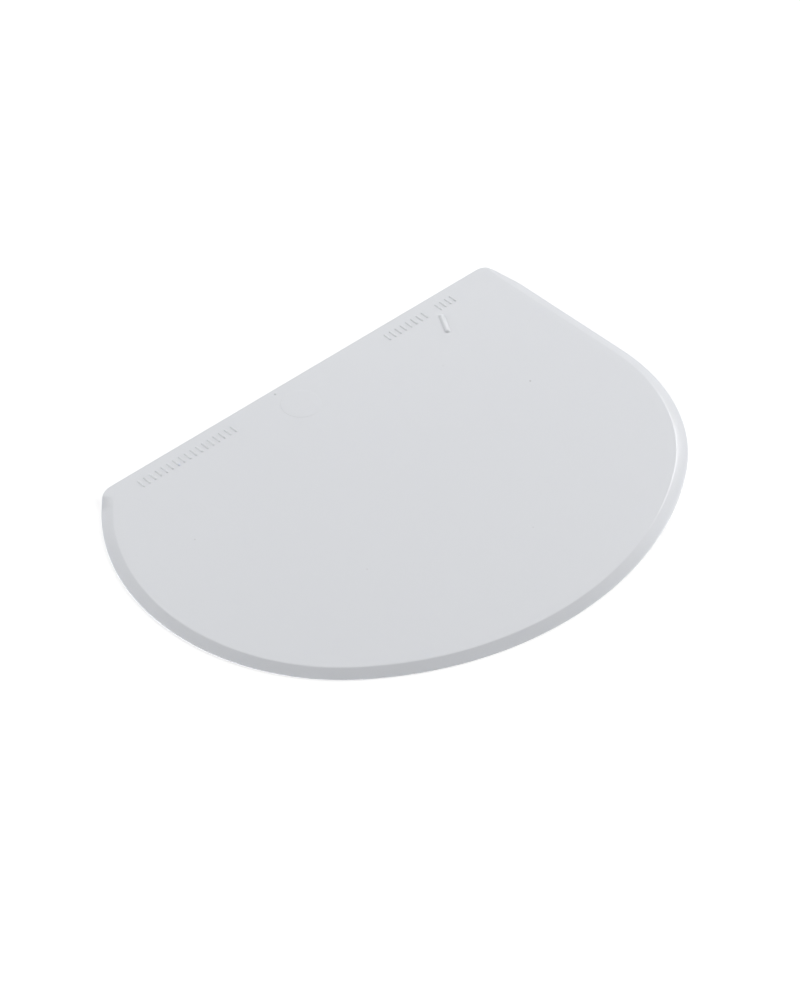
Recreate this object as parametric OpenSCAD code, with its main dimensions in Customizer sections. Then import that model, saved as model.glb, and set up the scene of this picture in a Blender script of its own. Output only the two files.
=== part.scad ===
// Flexible bowl scraper: one thin moulded plate with a blunt straight edge and a
// curved side that a bevel thins to a narrow rim. It lies flat on its underside.
// Millimetres, +Z up, +Y towards the straight edge, origin under the plate's middle.

/* [Plate] */
// Width across the two curved sides
plate_w = 120; // [80:1:200]
// Thickness of the plate
plate_t = 1.0; // [0.8:0.1:2.4]
// Depth from the straight edge to the belly, as a part of the width
depth_part = 0.721; // [0.67:0.001:0.77]

/* [Outline] */
// Radius of the full left side, as a part of the width
left_part = 0.394; // [0.37:0.002:0.42]
// Radius of the right shoulder, as a part of the width
right_part = 0.346; // [0.32:0.002:0.38]
// Radius of the belly, as a part of the width
belly_part = 0.585; // [0.56:0.005:0.65]
// Sideways place of the belly's lowest point, as a part of the width
belly_shift = 0.0125; // [-0.03:0.0025:0.04]
// Outward lean of the straight right side, in degrees
side_lean = 1.5; // [0:0.5:8]
// Corner radius at the left end of the straight edge
left_corner_r = 4.4; // [3:0.2:6]
// Corner radius at the right end of the straight edge
right_corner_r = 3.2; // [2.5:0.1:5]
// Lean of the right side's last stretch before that corner, in degrees
tip_lean = 11.5; // [8:0.5:18]
// Distance from the straight edge to where that stretch begins
tip_in = 8.5; // [5.5:0.1:12]

/* [Bevel] */
// Width of the bevel round the curved side, seen from above
bevel_w = 2.3; // [1:0.1:2.8]
// Thickness left at the rim below the bevel
rim_t = 0.25; // [0.15:0.05:0.5]

/* [Raised marks] */
// Height of the short ribs above the top face
rib_rise = 0.15; // [0.1:0.05:0.4]
// Length of one short rib
rib_l = 2.2; // [1:0.1:3]
// Width of one short rib
rib_w = 0.55; // [0.3:0.05:0.6]
// Distance from the straight edge to the middle of the ribs
rib_in = 3.6; // [3:0.1:5]
// Height of the long bar above the top face
bar_rise = 0.3; // [0.15:0.05:0.5]
// Length of the long bar
bar_l = 6; // [3:0.5:8]
// Width of the long bar
bar_w = 1.3; // [0.6:0.1:2]
// Lean of the long bar, in degrees
bar_lean = 28; // [0:1:45]
// Distance from the straight edge to the middle of the bar
bar_in = 8.3; // [7.5:0.1:12]
// Sideways place of the bar's middle, as a part of the width
bar_part = 0.318; // [0.26:0.002:0.34]

/* [Gate pad] */
// Radius of the low round pad in front of the straight edge
pad_r = 4.1; // [2:0.1:5]
// Distance from the straight edge to the middle of the pad
pad_in = 7; // [6:0.5:12]
// Height of the pad above the top face
pad_rise = 0.05; // [0.03:0.01:0.2]

/* [Hidden] */

$fn = 96;

// neighbouring arcs cross by this much, so that each cut ends in the open
cross = 0.02;

// raised marks reach this far down into the plate
sink = 0.2;

// outline sizes that follow from the width
plate_d = plate_w * depth_part;
left_r = plate_w * left_part;
right_r = plate_w * right_part;
belly_r = plate_w * belly_part;
edge_y = plate_d / 2;
reach = plate_w / 2;

// centres of the three large arcs
belly_c = [plate_w * belly_shift, belly_r - plate_d / 2];
left_x = left_r - plate_w / 2;
right_x = plate_w / 2 - right_r;
left_gap = sqrt(pow(belly_r - left_r + cross, 2) - pow(belly_c[0] - left_x, 2));
right_gap = sqrt(pow(belly_r - right_r + cross, 2) - pow(belly_c[0] - right_x, 2));
left_c = [left_x, belly_c[1] - left_gap];
right_c = [right_x, belly_c[1] - right_gap];

// directions in which a side arc meets the belly
left_joint = 360 + atan2(left_c[1] - belly_c[1], left_c[0] - belly_c[0]);
right_joint = 360 + atan2(right_c[1] - belly_c[1], right_c[0] - belly_c[0]);

// left corner: a small circle between the straight edge and the left arc
left_corner_y = edge_y - left_corner_r + cross / 2;
left_reach = sqrt(pow(left_r - left_corner_r + cross / 2, 2) - pow(left_corner_y - left_c[1], 2));
left_corner = [left_c[0] - left_reach, left_corner_y];
left_end = atan2(left_corner[1] - left_c[1], left_corner[0] - left_c[0]);

// right side: a straight run from the shoulder, then a stretch with more lean to the corner
lean_n = [cos(side_lean), sin(side_lean)];
side_start = right_c + (right_r - cross) * lean_n;
side_l = (edge_y - side_start[1]) / lean_n[0];
tip_up = side_l - tip_in / lean_n[0];
tip_start = side_start + tip_up * [-lean_n[1], lean_n[0]];
tip_n = [cos(tip_lean), sin(tip_lean)];
right_corner_y = edge_y - right_corner_r + cross / 2;
tip_rise = right_corner_y - tip_start[1];
right_corner_x = tip_start[0] - (right_corner_r - cross / 2 + tip_rise * tip_n[1]) / tip_n[0];
right_corner = [right_corner_x, right_corner_y];

// groups of short ribs: first and last place as parts of the width, number of ribs
RIB_GROUPS = [[-0.322, -0.124, 17], [0.222, 0.308, 8], [0.340, 0.374, 4]];

// the whole disc of the belly arc with its bevelled rim
module belly_disc() {
    translate([belly_c[0], belly_c[1], 0])
        rotate_extrude()
            polygon([
                [0, 0],
                [belly_r, 0],
                [belly_r, rim_t],
                [belly_r - bevel_w, plate_t],
                [0, plate_t]
            ]);
}

// takes away what lies outside an arc, between two directions
module arc_cut(c, r, from, to) {
    translate([c[0], c[1], -1])
        rotate([0, 0, from])
            rotate_extrude(angle = to - from)
                translate([r, 0])
                    square([reach, plate_t + 2]);
}

// what lies outside a rim at x = 0 and above its bevel
module rim_gap() {
    polygon([
        [0, -1],
        [0, rim_t],
        [-2 * bevel_w, 2 * plate_t - rim_t],
        [reach, 2 * plate_t - rim_t],
        [reach, -1]
    ]);
}

// cuts an arc with its bevel, between two directions
module rim_cut(c, r, from, to) {
    translate([c[0], c[1], 0])
        rotate([0, 0, from])
            rotate_extrude(angle = to - from)
                translate([r, 0])
                    rim_gap();
}

// takes away what lies beyond the straight right side, with a bevel that runs out at the corner
module side_cut() {
    translate([side_start[0], side_start[1], 0])
        rotate([0, 0, side_lean])
            translate([0, side_l + 5, 0])
                rotate([90, 0, 0])
                    linear_extrude(height = side_l + 10)
                        rim_gap();
}

// takes away what lies beyond the right side's last stretch
module tip_cut() {
    translate([tip_start[0], tip_start[1], -1])
        rotate([0, 0, tip_lean])
            translate([0, -5, 0])
                cube([reach, reach, plate_t + 2]);
}

// takes away what lies beyond the straight edge
module edge_cut() {
    translate([-plate_w, edge_y, -1])
        cube([2 * plate_w, plate_w, plate_t + 2]);
}

module blade() {
    difference() {
        belly_disc();
        edge_cut();
        side_cut();
        tip_cut();
        arc_cut(left_c, left_r, 90, left_end + 1);
        rim_cut(left_c, left_r, left_end, left_joint);
        rim_cut(right_c, right_r, right_joint, 360 + side_lean);
        arc_cut(left_corner, left_corner_r, 90, left_end);
        arc_cut(right_corner, right_corner_r, tip_lean, 90);
    }
}

module short_ribs() {
    for (g = RIB_GROUPS) {
        for (i = [0 : g[2] - 1]) {
            x = plate_w * (g[0] + (g[1] - g[0]) * i / (g[2] - 1));
            translate([x - rib_w / 2, edge_y - rib_in - rib_l / 2, plate_t - sink])
                cube([rib_w, rib_l, rib_rise + sink]);
        }
    }
}

module long_bar() {
    half_l = (bar_l - bar_w) / 2;
    translate([plate_w * bar_part, edge_y - bar_in, plate_t - sink])
        rotate([0, 0, -bar_lean]) {
            translate([-bar_w / 2, -half_l, 0])
                cube([bar_w, 2 * half_l, bar_rise + sink]);
            for (end = [-1, 1])
                translate([0, end * half_l, 0])
                    cylinder(r = bar_w / 2, h = bar_rise + sink);
        }
}

module gate_pad() {
    translate([0, edge_y - pad_in, plate_t - sink])
        cylinder(r = pad_r, h = pad_rise + sink);
}

module plate() {
    color([0.86, 0.87, 0.89])
        union() {
            blade();
            short_ribs();
            long_bar();
            gate_pad();
        }
}

plate();
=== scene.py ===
"""Looks of a flexible bowl scraper: one moulded plate lying flat on a pale floor.

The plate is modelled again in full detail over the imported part: the same outline of arcs,
a rounded crest on the bevel, softened edges, and soft raised marks along the straight edge.
Everything is in metres, in the part's own frame.
"""
import math

import bmesh
import bpy
from mathutils import Matrix, Vector
from mathutils.geometry import delaunay_2d_cdt


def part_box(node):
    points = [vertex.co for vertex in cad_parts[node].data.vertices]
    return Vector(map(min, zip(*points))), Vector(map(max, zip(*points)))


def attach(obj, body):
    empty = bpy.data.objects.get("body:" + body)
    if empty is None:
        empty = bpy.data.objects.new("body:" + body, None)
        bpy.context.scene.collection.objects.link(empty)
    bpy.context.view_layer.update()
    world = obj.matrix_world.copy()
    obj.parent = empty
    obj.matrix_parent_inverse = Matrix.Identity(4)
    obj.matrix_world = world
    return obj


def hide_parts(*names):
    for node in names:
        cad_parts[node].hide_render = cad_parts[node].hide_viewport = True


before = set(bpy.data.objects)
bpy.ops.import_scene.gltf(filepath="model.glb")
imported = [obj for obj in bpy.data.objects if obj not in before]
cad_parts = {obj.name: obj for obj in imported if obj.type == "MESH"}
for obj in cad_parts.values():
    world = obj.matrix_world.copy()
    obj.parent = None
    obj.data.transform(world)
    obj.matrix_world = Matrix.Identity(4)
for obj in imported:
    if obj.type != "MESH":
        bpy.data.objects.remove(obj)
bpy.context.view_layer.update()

MM = 0.001
TURN = math.tau
QUARTER = TURN / 4

# the plate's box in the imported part, which sets the outline's size
low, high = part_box("plate")
width = high.x - low.x
mid_x = (high.x + low.x) / 2
edge_y = high.y
belly_y = low.y

# outline: arcs as parts of the width, the leans of the right side and the corner roundings
left_r = 0.394 * width
right_r = 0.346 * width
belly_r = 0.585 * width
belly_shift = 0.0125 * width
side_lean = math.radians(1.5)
left_corner_r = 4.4 * MM
right_corner_r = 3.2 * MM
tip_lean = math.radians(11.5)
tip_in = 8.5 * MM
bend_r = 10.0 * MM

# distances between neighbouring stations of the mesh along the rim
arc_step = 0.9 * MM
straight_step = 1.5 * MM
left_corner_step = 0.4 * MM
right_corner_step = 0.3 * MM
ramp_step = 0.1 * MM
tip_step = 0.5 * MM

# section: plate, bevel and how far its edges are softened
plate_t = 1.0 * MM
bevel_w = 2.3 * MM
rim_t = 0.25 * MM
crest_r = 1.5 * MM
crest_share = 0.6
rim_soft = 0.07 * MM
foot_soft = 0.05 * MM
edge_soft = 0.14 * MM
flat_in = 0.35 * MM
blunt_reach = 0.45 * MM

# pieces of the section's roundings, of the bevel's face and of the crest
round_steps = 4
face_steps = 6
crest_steps = 8

# left end, where the bevel grows out of the corner and is shallower, and deepens along the side
left_ramp_l = 2.8 * MM
left_rim_t = 0.33 * MM
left_from = math.radians(139)
left_span = math.radians(45)

# right shoulder, where the bevel is slightly crowned and its crest is crisper
shoulder_at = math.radians(318)
shoulder_span = math.radians(40)
shoulder_curve = math.radians(7)
shoulder_crest_r = 1.1 * MM

# right end, where the bevel narrows and turns into the blunt edge
run_out_from = 1.0 * MM
run_out_to = 2.2 * MM
least_bevel = 0.05 * MM
least_facing = 0.1

# raised marks: ribs, slanted bar, gate mark and the pip behind it
mark_collar = 0.1 * MM
mark_flat_in = 0.02 * MM
least_corner_r = 0.01 * MM
flank_steps = 7
rib_rise = 0.15 * MM
rib_l = 2.2 * MM
rib_w = 0.55 * MM
rib_in = 3.6 * MM
rib_corner_r = 0.265 * MM
rib_soft = 0.24 * MM
bar_rise = 0.3 * MM
bar_l = 6.0 * MM
bar_w = 1.3 * MM
bar_in = 8.3 * MM
bar_part = 0.318
bar_lean = math.radians(28)
bar_corner_r = 0.64 * MM
bar_soft = 0.6 * MM
pad_r = 4.1 * MM
pad_in = 7.0 * MM
pad_rise = 0.03 * MM
pad_soft = 0.06 * MM
pip_r = 0.36 * MM
pip_left = 1.8 * MM
pip_in = 1.3 * MM
pip_rise = 0.12 * MM
pip_soft = 0.25 * MM

# groups of ribs: first and last place as parts of the width, number of ribs
RIB_GROUPS = ((-0.322, -0.124, 17), (0.222, 0.308, 8), (0.340, 0.374, 4))

# steps round a rib's corner, a bar's corner, the gate mark and the pip
rib_corner_steps = 4
bar_corner_steps = 8
pad_steps = 72
pip_steps = 16

# colours of the plastic
CLOUD_LOW_TINT = (0.697, 0.712, 0.742, 1)
CLOUD_HIGH_TINT = (0.701, 0.716, 0.745, 1)
FLOW_TINT = (0.680, 0.697, 0.728, 1)
SPECK_TINT = (0.22, 0.21, 0.20, 1)

# noises of the plastic, as scales per metre, and the part of each noise that counts
cloud_scale = 18.0
cloud_range = (0.35, 0.65)
flow_scale = 200.0
flow_tint_range = (0.45, 0.8)
flow_tint_share = 0.05
flow_rough_range = (0.3, 0.7)
grain_scale = 5200.0

# scuffs: long streaks within patches
streak_scale = 90.0
streak_roughness = 0.55
streak_range = (0.58, 0.75)
streak_turn = 0.6
streak_thinness = 22.0
patch_scale = 45.0
patch_range = (0.5, 0.65)

# roughness, kept above 0.274, because renders show a step where it crosses that value
rough_range = (0.277, 0.283)
scuff_rough = 0.03

# bumps: strength and height of the slow waves, of the skin and of the grain
wave_strength = 1.0
wave_height = 0.008 * MM
skin_strength = 0.3
skin_height = 0.0003 * MM
grain_strength = 0.4
grain_height = 0.001 * MM

# how light passes through the plastic
plastic_ior = 1.51
glow_weight = 0.25
glow_radius = (1.0, 1.0, 1.05)
glow_depth = 0.35 * MM

# small dark inclusions in the plastic: place in millimetres and radius
SPECKS = (
    (38.8, 10.2, 0.22),
    (-22.0, -8.0, 0.12),
    (9.5, -21.0, 0.12),
    (-41.0, 20.5, 0.14),
    (29.0, 25.5, 0.1),
)
speck_core = 0.5
speck_edge = 1.2
speck_strength = 0.45

# floor: white from a distance on, and softer near the plate, where its shadow shows
FLOOR_TINT = (0.55, 0.55, 0.55, 1)
floor_half = 3.0
floor_drop = 0.02 * MM
floor_glow = 0.58
floor_bounce = 0.95
white_from = 0.10
white_all = 0.40

# lights: name, azimuth, elevation, size in metres, power in watts
LIGHTS = (
    ("right_soft", -20.0, 30.0, 0.9, 7.1),
    ("right_low", -20.0, 20.0, 0.9, 8.3),
    ("main_soft", 12.0, 33.0, 0.9, 2.1),
    ("left_low", 150.0, 25.0, 0.9, 13.7),
    ("back_soft", 60.0, 40.0, 0.9, 4.2),
    ("crest_light", 22.0, 37.5, 0.25, 3.4),
)
light_away = 1.4

# camera at the photograph's place
CAMERA_AT = Vector((-349.998, -376.135, 482.280)) * MM
camera_azimuth = 227.57
camera_elevation = 43.21
camera_lens = 129.78
camera_sensor = 36.0
camera_near = 0.01
camera_far = 20.0


# outline of the plate

class Station:
    """A place on the rim: the arc it lies on, its outward direction and the section there."""

    def __init__(self, centre, radius, angle):
        self.centre = centre
        self.radius = radius
        self.angle = angle
        self.out = direction(angle)
        self.profile = None

    def rim(self):
        return self.centre + self.out * self.radius

    def point(self, inward, z):
        xy = self.centre + self.out * (self.radius - inward)
        return Vector((xy.x, xy.y, z))


def direction(angle):
    return Vector((math.cos(angle), math.sin(angle)))


def arc(centre, radius, start, end, step=arc_step):
    """Stations along an arc, both ends included."""
    count = max(8, round(abs(end - start) * radius / step))
    return [Station(centre, radius, start + (end - start) * i / count) for i in range(count + 1)]


def straight(first, last, step=straight_step):
    """Stations from one station to another in the same direction, without the first one."""
    run = last.rim() - first.rim()
    count = max(2, round(run.length / step))
    return [
        Station(first.centre + run * i / count, first.radius, first.angle)
        for i in range(1, count + 1)
    ]


def side_centre(belly, x, radius):
    """The centre of a side arc that runs smoothly into the belly arc."""
    return Vector((x, belly.y - math.sqrt((belly_r - radius) ** 2 - (belly.x - x) ** 2)))


def joint_angle(side, belly):
    """The direction in which a side arc meets the belly arc."""
    return TURN + math.atan2(side.y - belly.y, side.x - belly.x)


def left_corner_centre(left):
    """The centre of the rounding between the left arc and the straight edge."""
    y = edge_y - left_corner_r
    x = left.x - math.sqrt((left_r - left_corner_r) ** 2 - (y - left.y) ** 2)
    return Vector((x, y))


def right_end_centres(side_start):
    """The centres of the bend in the right side and of the corner beyond it."""
    lean = direction(side_lean)
    tip = direction(tip_lean)
    tip_y = edge_y - tip_in
    tip_start = Vector((side_start.x - (tip_y - side_start.y) * lean.y / lean.x, tip_y))
    half_bend = (tip_lean - side_lean) / 2
    bend_at = tip_start - direction(side_lean + half_bend) * bend_r / math.cos(half_bend)
    corner_y = edge_y - right_corner_r
    corner_x = tip_start.x - (right_corner_r + (corner_y - tip_start.y) * tip.y) / tip.x
    return bend_at, Vector((corner_x, corner_y))


def outline():
    """All stations round the plate, anticlockwise from the right corner."""
    belly = Vector((mid_x + belly_shift, belly_y + belly_r))
    left = side_centre(belly, mid_x - width / 2 + left_r, left_r)
    right = side_centre(belly, mid_x + width / 2 - right_r, right_r)
    left_joint = joint_angle(left, belly)
    right_joint = joint_angle(right, belly)
    left_corner = left_corner_centre(left)
    left_end = math.atan2(left_corner.y - left.y, left_corner.x - left.x)
    ramp_end = left_end + left_ramp_l / left_r
    side_start = right + right_r * direction(side_lean)
    bend_at, right_corner = right_end_centres(side_start)

    top_right = arc(right_corner, right_corner_r, tip_lean, QUARTER, right_corner_step)
    top_left = arc(left_corner, left_corner_r, QUARTER, left_end, left_corner_step)
    edge = straight(top_right[-1], top_left[0])[:-1] + top_left[:-1]
    ramp = top_left[-1:] + arc(left, left_r, left_end, ramp_end, ramp_step)[1:]
    left_side = arc(left, left_r, ramp_end, left_joint)[1:]
    bottom = arc(belly, belly_r, left_joint, right_joint)[1:]
    right_side = arc(right, right_r, right_joint, TURN + side_lean)[1:]
    bend = arc(bend_at, bend_r, side_lean, tip_lean)
    side = straight(right_side[-1], bend[0])
    tip_run = bend[1:] + straight(bend[-1], top_right[0], tip_step)[:-1]

    bevelled = left_side + bottom + right_side + side
    give_sections(edge, ramp, bevelled, tip_run + top_right, side_start)
    return top_right + edge + ramp + bevelled + tip_run


def give_sections(edge, ramp, bevelled, leaning, side_start):
    """Gives each station its section: blunt, growing into the bevel, bevelled, or narrowing."""
    narrow = blunt_profile(bevel_profile(bevel_w, rim_t), blunt_reach)
    for station in edge:
        station.profile = narrow
    shallow = rim_profile(ramp[0].angle)
    beside = blunt_profile(shallow, shallow[-1][0])
    for i, station in enumerate(ramp):
        station.profile = mixed(beside, shallow, i / len(ramp))
    for station in bevelled:
        station.profile = rim_profile(station.angle)
    for station in leaning:
        station.profile = tip_profile(station, side_start, narrow)


# sections across the rim, as pairs of distance inwards and height

def gentle(t):
    """Grows from 0 to 1, level at both ends."""
    t = min(max(t, 0.0), 1.0)
    return t * t * (3 - 2 * t)


def mixed(a, b, part):
    """A profile between two others, point for point."""
    return [(p[0] + (q[0] - p[0]) * part, p[1] + (q[1] - p[1]) * part) for p, q in zip(a, b)]


def turned(centre, radius, start, end, count=round_steps):
    """Points of a section's rounding, from one direction to another."""
    return [
        (
            centre[0] + radius * math.cos(start + (end - start) * i / count),
            centre[1] + radius * math.sin(start + (end - start) * i / count),
        )
        for i in range(count + 1)
    ]


def rounded_foot():
    """The small rounding between the underside and the rim."""
    return turned((foot_soft, foot_soft), foot_soft, 3 * QUARTER, 2 * QUARTER)


def bevel_face(first, last, slope, curve):
    """Points between the two ends of the bevel, crowned by a turn of its slope."""
    chord = math.hypot(last[0] - first[0], last[1] - first[1])
    points = []
    for k in range(1, face_steps):
        t = k / face_steps
        out = 2 * t * (1 - t) * chord * math.tan(curve / 4)
        points.append((
            first[0] + (last[0] - first[0]) * t - out * math.sin(slope),
            first[1] + (last[1] - first[1]) * t + out * math.cos(slope),
        ))
    return points


def bevel_profile(across, rim_z, curve=0.0, round_r=crest_r):
    """From the flat underside round the thin rim and up the bevel to the flat top."""
    slope = math.atan2(plate_t - rim_z, across)
    at_rim = slope + curve / 2
    at_crest = slope - curve / 2
    rim_reach = rim_soft * math.tan((QUARTER - at_rim) / 2)
    rim = turned((rim_soft, rim_z - rim_reach), rim_soft, 2 * QUARTER, QUARTER + at_rim)

    round_r = min(round_r, crest_share * across / math.tan(slope / 2))
    last_z = plate_t - round_r * (1 - math.cos(at_crest))
    last = (rim[-1][0] + (last_z - rim[-1][1]) / math.tan(slope), last_z)
    crest_at = (last[0] + round_r * math.sin(at_crest), plate_t - round_r)
    crest = turned(crest_at, round_r, QUARTER + at_crest, QUARTER, crest_steps)
    inner = crest[-1][0] + flat_in
    face = bevel_face(rim[-1], last, slope, curve)
    return [(inner, 0.0)] + rounded_foot() + rim + face + crest + [(inner, plate_t)]


def blunt_profile(bevel, reach):
    """The full-thickness rim, point for point beside a bevelled one, as wide or narrower."""
    foot = rounded_foot()
    head = turned((edge_soft, plate_t - edge_soft), edge_soft, 2 * QUARTER, QUARTER)
    start = 1 + len(foot) + len(head)
    shrink = (reach - edge_soft) / (bevel[-1][0] - edge_soft)
    flat = [(edge_soft + (max(d, edge_soft) - edge_soft) * shrink, plate_t) for d, z in bevel[start:]]
    return [(reach, 0.0)] + foot + head + flat


def rim_profile(angle):
    """The full bevel, shallower at the left end and a little crowned round the right shoulder."""
    deepen = gentle((angle - left_from) / left_span)
    rim_z = left_rim_t + (rim_t - left_rim_t) * deepen
    away = abs((angle - shoulder_at + TURN / 2) % TURN - TURN / 2)
    part = gentle(1 - away / shoulder_span)
    round_r = crest_r + (shoulder_crest_r - crest_r) * part
    return bevel_profile(bevel_w, rim_z, shoulder_curve * part, round_r)


def tip_profile(station, side_start, narrow):
    """Where the outline leans in from the straight side, the bevel that runs on straight narrows."""
    lean = direction(side_lean)
    inset = (side_start - station.rim()).dot(lean)
    left_over = max(bevel_w - inset, least_bevel)
    across = min(left_over / max(station.out.dot(lean), least_facing), bevel_w)
    rim_z = plate_t - left_over * (plate_t - rim_t) / bevel_w
    part = gentle((inset - run_out_from) / (run_out_to - run_out_from))
    return mixed(bevel_profile(across, rim_z), narrow, part)


# raised marks on the top face

def slot_loop(centre, length, breadth, lean, corner, grow, steps):
    """A rounded rectangle, grown outwards by some distance."""
    half_l = length / 2 - corner
    half_b = breadth / 2 - corner
    r = max(corner + grow, least_corner_r)
    turn = Matrix.Rotation(-lean, 2)
    loop = []
    for k, (sx, sy) in enumerate(((1, 1), (-1, 1), (-1, -1), (1, -1))):
        for i in range(steps + 1):
            a = QUARTER * (k + i / steps)
            p = Vector((sx * half_b + r * math.cos(a), sy * half_l + r * math.sin(a)))
            loop.append(centre + turn @ p)
    return loop


def round_loop(centre, radius, steps):
    return [centre + direction(TURN * i / steps) * radius for i in range(steps)]


def domed(t):
    """A flank that starts steep and ends level."""
    return t * (2 - t)


def mark_rings(loop_at, rise, soft, flank):
    """Rings of one raised mark, from its flat collar up its flank to the top."""
    rings = [(mark_collar, 0.0), (0.0, 0.0)]
    for i in range(1, flank_steps + 1):
        rings.append((-soft * i / flank_steps, rise * flank(i / flank_steps)))
    rings.append((-soft - mark_flat_in, rise))
    return [[Vector((p.x, p.y, plate_t + z)) for p in loop_at(grow)] for grow, z in rings]


def slot_mark(centre, length, breadth, lean, corner, rise, soft, steps):
    """The rings of a long mark with a domed section."""
    def loop_at(grow):
        return slot_loop(centre, length, breadth, lean, corner, grow, steps)
    return mark_rings(loop_at, rise, soft, domed)


def round_mark(centre, radius, rise, soft, steps):
    """The rings of a round mark with a gentle flank."""
    def loop_at(grow):
        return round_loop(centre, radius + grow, steps)
    return mark_rings(loop_at, rise, soft, gentle)


def rib_centres():
    for first, last, count in RIB_GROUPS:
        for i in range(count):
            x = mid_x + width * (first + (last - first) * i / (count - 1))
            yield Vector((x, edge_y - rib_in))


def all_marks():
    """The rings of every raised mark."""
    marks = [
        slot_mark(at, rib_l, rib_w, 0.0, rib_corner_r, rib_rise, rib_soft, rib_corner_steps)
        for at in rib_centres()
    ]
    bar_at = Vector((mid_x + bar_part * width, edge_y - bar_in))
    marks.append(slot_mark(
        bar_at, bar_l, bar_w, bar_lean, bar_corner_r, bar_rise, bar_soft, bar_corner_steps))
    pad_at = Vector((mid_x, edge_y - pad_in))
    marks.append(round_mark(pad_at, pad_r, pad_rise, pad_soft, pad_steps))
    pip_at = Vector((mid_x - pip_left, edge_y - pip_in))
    marks.append(round_mark(pip_at, pip_r, pip_rise, pip_soft, pip_steps))
    return marks


# mesh of the plate

def bridge(bm, a, b):
    """Faces between two closed rows of as many points."""
    for i in range(len(a)):
        j = (i + 1) % len(a)
        bm.faces.new((a[i], a[j], b[j], b[i]))


def fill_flat(bm, loops):
    """Fills the flat face inside the first loop and outside the others, which are convex."""
    inside_outer_loop = 1
    merge_within = 1e-6
    verts = [v for loop in loops for v in loop]
    owner = [k for k, loop in enumerate(loops) for v in loop]
    edges = []
    start = 0
    for loop in loops:
        count = len(loop)
        edges += [(start + i, start + (i + 1) % count) for i in range(count)]
        start += count
    flat = [Vector((v.co.x, v.co.y)) / MM for v in verts]
    triangles = delaunay_2d_cdt(flat, edges, [], inside_outer_loop, merge_within)[2]
    for triangle in triangles:
        owners = {owner[i] for i in triangle}
        if len(owners) > 1 or owners == {0}:
            bm.faces.new([verts[i] for i in triangle])


def make_plate():
    """The whole plate as one closed mesh: rim, marks, top and underside."""
    stations = outline()
    bm = bmesh.new()
    rows = []
    for k in range(len(stations[0].profile)):
        rows.append([bm.verts.new(s.point(*s.profile[k])) for s in stations])
    for a, b in zip(rows, rows[1:]):
        bridge(bm, a, b)

    loops = [rows[-1]]
    for rings in all_marks():
        mark = [[bm.verts.new(p) for p in ring] for ring in rings]
        for a, b in zip(mark, mark[1:]):
            bridge(bm, a, b)
        bm.faces.new(mark[-1])
        loops.append(mark[0])
    fill_flat(bm, loops)
    bm.faces.new(rows[0])
    bmesh.ops.recalc_face_normals(bm, faces=bm.faces)

    piece = placed(bm, "plate_skin")
    piece.data.shade_smooth()
    return piece


def placed(bm, name):
    """Turns finished mesh data into an object of the scene."""
    mesh = bpy.data.meshes.new(name)
    bm.to_mesh(mesh)
    bm.free()
    piece = bpy.data.objects.new(name, mesh)
    bpy.context.collection.objects.link(piece)
    return piece


# material

class Nodes:
    """A short way to build the nodes of a material or a world."""

    def __init__(self, name, kind=bpy.data.materials):
        self.owner = kind.new(name)
        self.owner.use_nodes = True
        self.tree = self.owner.node_tree
        self.tree.nodes.clear()

    def add(self, kind, **settings):
        node = self.tree.nodes.new(kind)
        for key, value in settings.items():
            setattr(node, key, value)
        return node

    def link(self, source, target):
        self.tree.links.new(source, target)

    def set(self, socket, value):
        """Gives a socket a number or a colour, or links another node's output to it."""
        if isinstance(value, bpy.types.NodeSocket):
            self.link(value, socket)
        else:
            socket.default_value = value

    def finish(self, kind, surface):
        self.link(surface, self.add(kind).inputs["Surface"])

    def noise(self, vector, scale, detail, roughness=0.5):
        node = self.add("ShaderNodeTexNoise")
        node.inputs["Scale"].default_value = scale
        node.inputs["Detail"].default_value = detail
        node.inputs["Roughness"].default_value = roughness
        self.link(vector, node.inputs["Vector"])
        return node.outputs["Fac"]

    def spread(self, value, source, target=(0.0, 1.0)):
        """Carries one range of a value over to another, and holds it at the ends."""
        node = self.add("ShaderNodeMapRange", clamp=True)
        for name, number in zip(("From Min", "From Max", "To Min", "To Max"), source + target):
            node.inputs[name].default_value = number
        self.link(value, node.inputs["Value"])
        return node.outputs["Result"]

    def math(self, operation, a, b):
        node = self.add("ShaderNodeMath", operation=operation)
        self.set(node.inputs[0], a)
        self.set(node.inputs[1], b)
        return node.outputs["Value"]

    def blend(self, factor, a, b):
        """Mixes two colours. The node has number sockets of the same names, so these go by type."""
        node = self.add("ShaderNodeMix", data_type="RGBA")
        colours = [socket for socket in node.inputs if socket.type == "RGBA"]
        self.link(factor, node.inputs["Factor"])
        self.set(colours[0], a)
        self.set(colours[1], b)
        return next(socket for socket in node.outputs if socket.type == "RGBA")

    def bump(self, height, strength, distance, normal=None):
        node = self.add("ShaderNodeBump")
        node.inputs["Strength"].default_value = strength
        node.inputs["Distance"].default_value = distance
        self.link(height, node.inputs["Height"])
        if normal is not None:
            self.link(normal, node.inputs["Normal"])
        return node.outputs["Normal"]


def scuff_mask(n, place):
    """Fine streaks in one direction, in patches."""
    stretch = n.add("ShaderNodeMapping")
    stretch.inputs["Rotation"].default_value = (0.0, 0.0, streak_turn)
    stretch.inputs["Scale"].default_value = (1.0, streak_thinness, 1.0)
    n.link(place, stretch.inputs["Vector"])
    streaks = n.noise(stretch.outputs["Vector"], streak_scale, 3.0, streak_roughness)
    patches = n.noise(place, patch_scale, 1.0)
    return n.math("MULTIPLY", n.spread(streaks, streak_range), n.spread(patches, patch_range))


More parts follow.
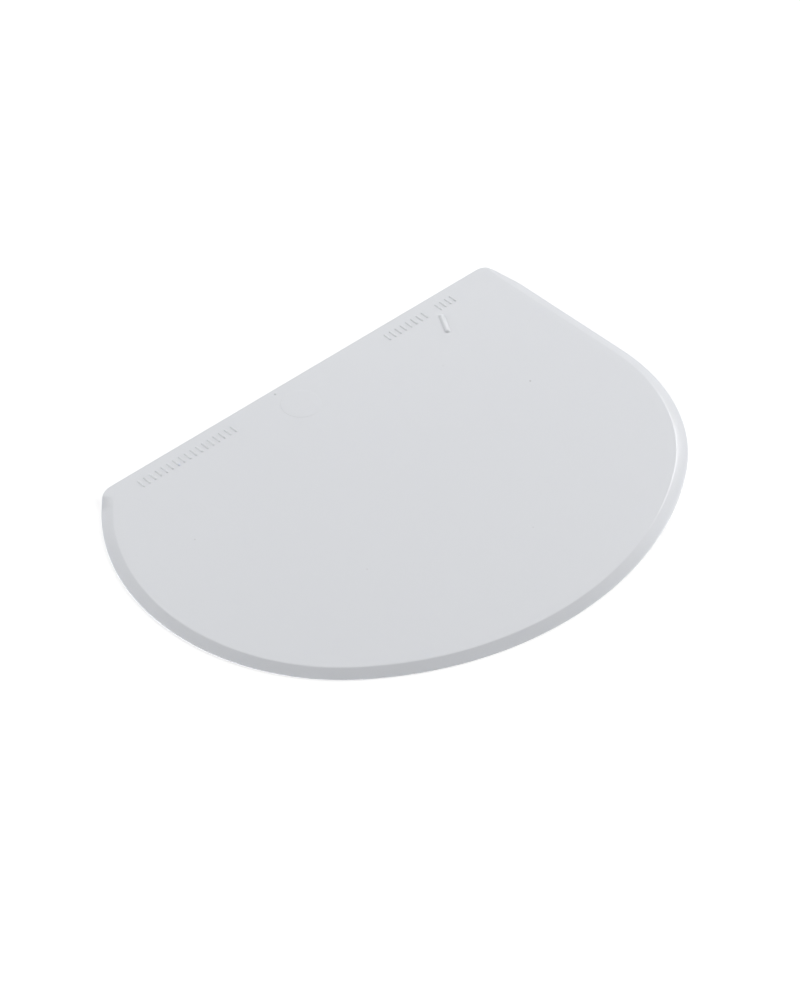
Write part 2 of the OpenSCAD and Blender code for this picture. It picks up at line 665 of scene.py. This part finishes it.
def speck_mask(n, place):
    """Small soft dots on the top face."""
    mask = None
    for x, y, r in SPECKS:
        far = n.add("ShaderNodeVectorMath", operation="DISTANCE")
        n.link(place, far.inputs[0])
        far.inputs[1].default_value = (x * MM, y * MM, plate_t)
        reach = (r * speck_core * MM, r * speck_edge * MM)
        spot = n.spread(far.outputs["Value"], reach, (speck_strength, 0.0))
        mask = spot if mask is None else n.math("MAXIMUM", mask, spot)
    return mask


def polyethylene():
    """Satin white polyethylene: faintly cloudy, finely grained, with light scuffs and a few specks."""
    n = Nodes("polyethylene_white")
    place = n.add("ShaderNodeTexCoord").outputs["Object"]
    cloud = n.noise(place, cloud_scale, 0.0)
    flow = n.noise(place, flow_scale, 2.0)
    grain = n.noise(place, grain_scale, 2.0)

    tint = n.blend(n.spread(cloud, cloud_range), CLOUD_LOW_TINT, CLOUD_HIGH_TINT)
    tint = n.blend(n.spread(flow, flow_tint_range, (0.0, flow_tint_share)), tint, FLOW_TINT)
    tint = n.blend(speck_mask(n, place), tint, SPECK_TINT)
    scuffs = n.math("MULTIPLY", scuff_mask(n, place), scuff_rough)
    rough = n.math("ADD", n.spread(flow, flow_rough_range, rough_range), scuffs)
    waves = n.bump(cloud, wave_strength, wave_height)
    skin = n.bump(flow, skin_strength, skin_height, waves)
    normal = n.bump(grain, grain_strength, grain_height, skin)

    shader = n.add("ShaderNodeBsdfPrincipled")
    n.link(tint, shader.inputs["Base Color"])
    n.link(rough, shader.inputs["Roughness"])
    n.link(normal, shader.inputs["Normal"])
    shader.inputs["IOR"].default_value = plastic_ior
    shader.inputs["Subsurface Weight"].default_value = glow_weight
    shader.inputs["Subsurface Radius"].default_value = glow_radius
    shader.inputs["Subsurface Scale"].default_value = glow_depth
    n.finish("ShaderNodeOutputMaterial", shader.outputs["BSDF"])
    return n.owner


# floor, light and camera

def seen_directly(n):
    """1 for rays of the camera, of mirror reflections and of clear transmission, else 0."""
    path = n.add("ShaderNodeLightPath")
    seen = n.math("MAXIMUM", path.outputs["Is Camera Ray"], path.outputs["Is Glossy Ray"])
    return n.math("MAXIMUM", seen, path.outputs["Is Transmission Ray"])


def floor_white():
    """White that glows where it is seen, less so near the plate, so that its shadow shows."""
    n = Nodes("floor_white")
    paint = n.add("ShaderNodeBsdfDiffuse")
    paint.inputs["Color"].default_value = FLOOR_TINT
    far = n.add("ShaderNodeVectorMath", operation="LENGTH")
    n.link(n.add("ShaderNodeTexCoord").outputs["Object"], far.inputs[0])
    lift = n.spread(far.outputs["Value"], (white_from, white_all), (floor_glow, 1.0))
    seen = seen_directly(n)
    bounce = n.spread(seen, (0.0, 1.0), (floor_bounce, 0.0))
    glow = n.add("ShaderNodeEmission")
    n.link(n.math("MAXIMUM", n.math("MULTIPLY", seen, lift), bounce), glow.inputs["Strength"])
    both = n.add("ShaderNodeAddShader")
    n.link(paint.outputs["BSDF"], both.inputs[0])
    n.link(glow.outputs["Emission"], both.inputs[1])
    n.finish("ShaderNodeOutputMaterial", both.outputs["Shader"])
    return n.owner


def make_floor():
    """A white floor that keeps the plate's soft shadow and is plain white further out."""
    bm = bmesh.new()
    bmesh.ops.create_grid(bm, x_segments=2, y_segments=2, size=floor_half)
    floor = placed(bm, "floor")
    floor.location.z = -floor_drop
    floor.data.materials.append(floor_white())


def make_world():
    """Plain white where it is seen directly or mirrored, and dark for all other rays."""
    n = Nodes("studio", bpy.data.worlds)
    bpy.context.scene.world = n.owner
    light = n.add("ShaderNodeBackground")
    light.inputs["Color"].default_value = (1, 1, 1, 1)
    n.link(seen_directly(n), light.inputs["Strength"])
    n.finish("ShaderNodeOutputWorld", light.outputs["Background"])


def from_plate(azimuth, elevation):
    """The direction away from the plate, from degrees round from +X and degrees above the floor."""
    a = math.radians(azimuth)
    e = math.radians(elevation)
    return Vector((math.cos(a) * math.cos(e), math.sin(a) * math.cos(e), math.sin(e)))


def make_light(name, azimuth, elevation, size, power):
    """A square soft light that faces the plate."""
    back = from_plate(azimuth, elevation)
    data = bpy.data.lights.new(name, "AREA")
    data.shape = "SQUARE"
    data.size = size
    data.energy = power
    lamp = bpy.data.objects.new(name, data)
    lamp.location = back * light_away
    lamp.rotation_mode = "QUATERNION"
    lamp.rotation_quaternion = back.to_track_quat("Z", "Y")
    bpy.context.collection.objects.link(lamp)


def make_camera():
    """The photograph's camera, upright."""
    data = bpy.data.cameras.new("camera")
    data.lens = camera_lens
    data.sensor_width = camera_sensor
    data.clip_start = camera_near
    data.clip_end = camera_far
    camera = bpy.data.objects.new("camera", data)
    turn = from_plate(camera_azimuth, camera_elevation).to_track_quat("Z", "Y")
    camera.matrix_world = Matrix.Translation(CAMERA_AT) @ turn.to_matrix().to_4x4()
    bpy.context.collection.objects.link(camera)
    bpy.context.scene.camera = camera


make_camera()
make_floor()
make_world()
for light in LIGHTS:
    make_light(*light)

plate = make_plate()
plate.data.materials.append(polyethylene())
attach(plate, "root")
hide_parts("plate")

bpy.context.scene.view_settings.view_transform = "Standard"
